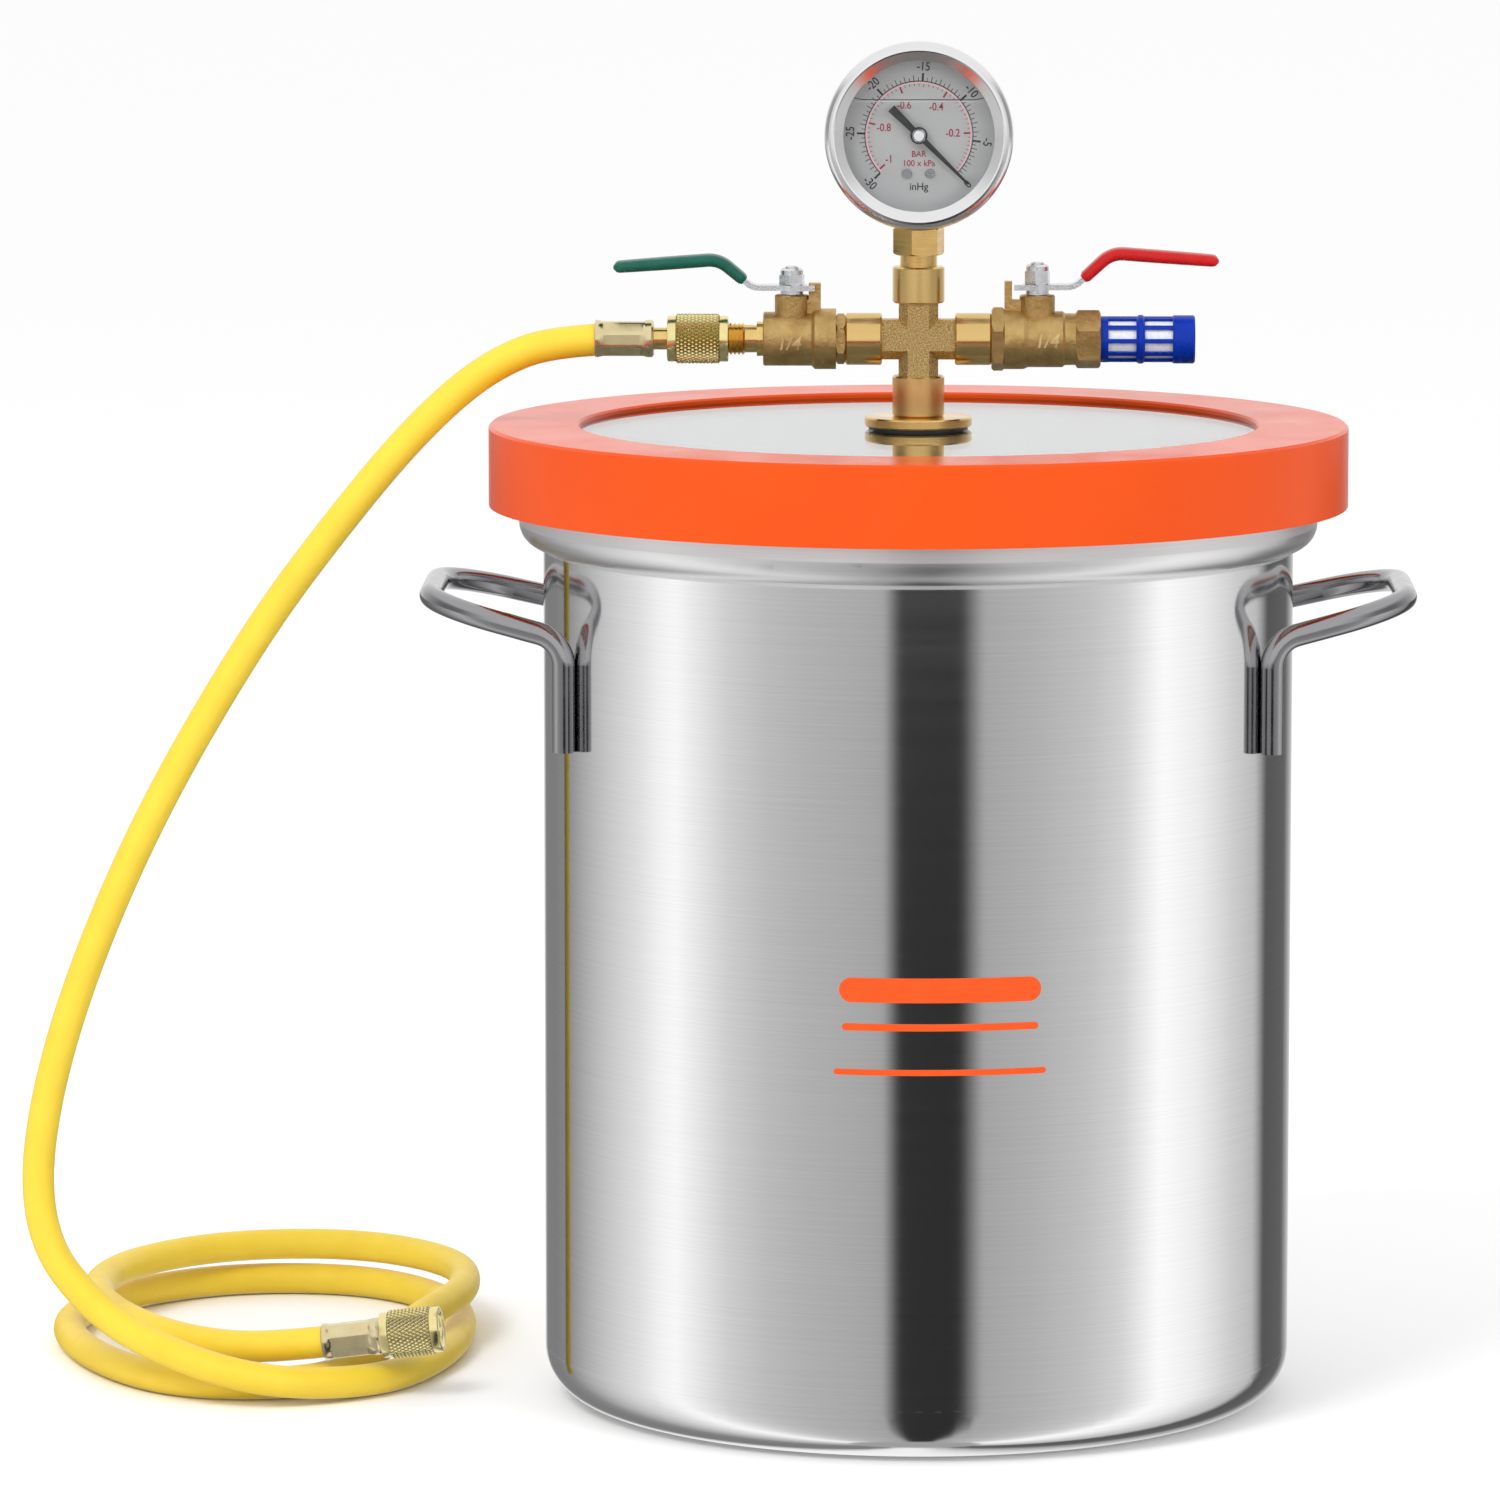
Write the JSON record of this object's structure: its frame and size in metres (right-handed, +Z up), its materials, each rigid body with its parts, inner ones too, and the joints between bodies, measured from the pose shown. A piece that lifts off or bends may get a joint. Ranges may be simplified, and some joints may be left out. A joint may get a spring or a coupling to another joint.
{
  "type": "vacuum degassing pot",
  "caption": "Tall steel pot with side handles, ring-sealed glass lid, brass manifold with two lever valves, dial gauge and silencer, and a coiled hose.",
  "frame": {"origin": "centre of the pot's base, on the surface it stands on", "axes": "+Z up along the pot's axis, -Y towards the gauge face, -X towards the hose"},
  "size_m": [0.5236, 0.3554, 0.51],
  "materials": {
    "steel": "circumferentially brushed bright stainless steel",
    "handle_steel": "polished steel rod",
    "zinc_steel": "bright zinc plate",
    "gasket_rubber": "glossy orange silicone",
    "glass": "clear tempered glass",
    "black_rubber": "matte",
    "brass": "machined brass",
    "cast_brass": "rough cast brass",
    "ptfe": "white PTFE",
    "green_grip": "dipped vinyl",
    "red_grip": "dipped vinyl",
    "yellow_hose": "satin yellow hose",
    "blue_plastic": "moulded nylon",
    "white_filter": "sintered filter",
    "gauge_steel": "bright steel case",
    "dial_white": "satin printed dial",
    "black_paint": "satin black",
    "spring_bronze": "phosphor bronze"
  },
  "bodies": {
    "pot": {"pot_wall": "steel", "pot_base": "steel", "left_handle": "handle_steel", "right_handle": "handle_steel", "hose_coil": "yellow_hose", "free_ferrule": "brass", "free_hose_tail": "brass", "free_nut_seal": "black_rubber"},
    "lid": {"lid_gasket": "gasket_rubber", "lid_glass": "glass", "gauge_lens": "glass", "bulkhead_fitting": "brass", "bulkhead_lock_nut": "brass", "cross_fitting": "brass", "flare_adapter": "brass", "inlet_ferrule": "brass", "inlet_hose_tail": "brass", "gauge_socket": "brass", "movement_plates": "brass", "inlet_valve_body": "cast_brass", "vent_valve_body": "cast_brass", "inlet_end_piece": "cast_brass", "vent_end_piece": "cast_brass", "bulkhead_upper_washer": "black_rubber", "bulkhead_lower_washer": "black_rubber", "inlet_nut_seal": "black_rubber", "gauge_fill_plug": "black_rubber", "bulkhead_steel_washer": "zinc_steel", "dial_screws": "zinc_steel", "inlet_ball_seats": "ptfe", "vent_ball_seats": "ptfe", "inlet_stem_packing": "ptfe", "vent_stem_packing": "ptfe", "hose_run": "yellow_hose", "silencer_shell": "blue_plastic", "silencer_filter": "white_filter", "gauge_case": "gauge_steel", "gauge_bezel": "gauge_steel", "gauge_dial": "dial_white", "bourdon_tube": "spring_bronze"},
    "inlet_valve": {"inlet_ball": "zinc_steel", "inlet_stem": "brass", "inlet_lever": "zinc_steel", "inlet_lever_sleeve": "green_grip", "inlet_lever_nut": "zinc_steel"},
    "vent_valve": {"vent_ball": "zinc_steel", "vent_stem": "brass", "vent_lever": "zinc_steel", "vent_lever_sleeve": "red_grip", "vent_lever_nut": "zinc_steel"},
    "pointer": {"gauge_pointer": "black_paint", "pointer_cap": "zinc_steel", "pointer_pinion": "brass"},
    "sector": {"sector_gear": "brass"},
    "inlet_nut": {"inlet_knurled_nut": "brass"},
    "free_nut": {"free_knurled_nut": "brass"}
  },
  "joints": [
    {"name": "lid_lift", "type": "slide", "parent": "pot", "child": "lid", "axis": [0, 0, 1], "range_m": [0, 0.06]},
    {"name": "inlet_valve_turn", "type": "hinge", "parent": "lid", "child": "inlet_valve", "pos_m": [-0.0472, 0, 0.3985], "axis": [0, 0, 1], "range_deg": [-90, 0]},
    {"name": "vent_valve_turn", "type": "hinge", "parent": "lid", "child": "vent_valve", "pos_m": [0.0442, 0, 0.3985], "axis": [0, 0, 1], "range_deg": [0, 90]},
    {"name": "pointer_turn", "type": "hinge", "parent": "lid", "child": "pointer", "pos_m": [0, -0.0116, 0.475], "axis": [0, -1, 0], "range_deg": [0, 270], "stiffness_Nm_per_rad": 0.0005},
    {"name": "sector_swing", "type": "hinge", "parent": "lid", "child": "sector", "pos_m": [0, 0, 0.461], "axis": [0, -1, 0], "range_deg": [-45, 0]},
    {"name": "inlet_nut_spin", "type": "hinge", "parent": "lid", "child": "inlet_nut", "pos_m": [-0.082, 0, 0.3985], "axis": [1, 0, 0], "continuous": true},
    {"name": "free_nut_spin", "type": "hinge", "parent": "pot", "child": "free_nut", "pos_m": [-0.1895, -0.01854, 0.02499], "axis": [0.9854, -0.103, 0.1353], "continuous": true}
  ],
  "couplings": [
    {"joint": "sector_swing", "follows": "pointer_turn", "ratio": -0.16667}
  ]
}
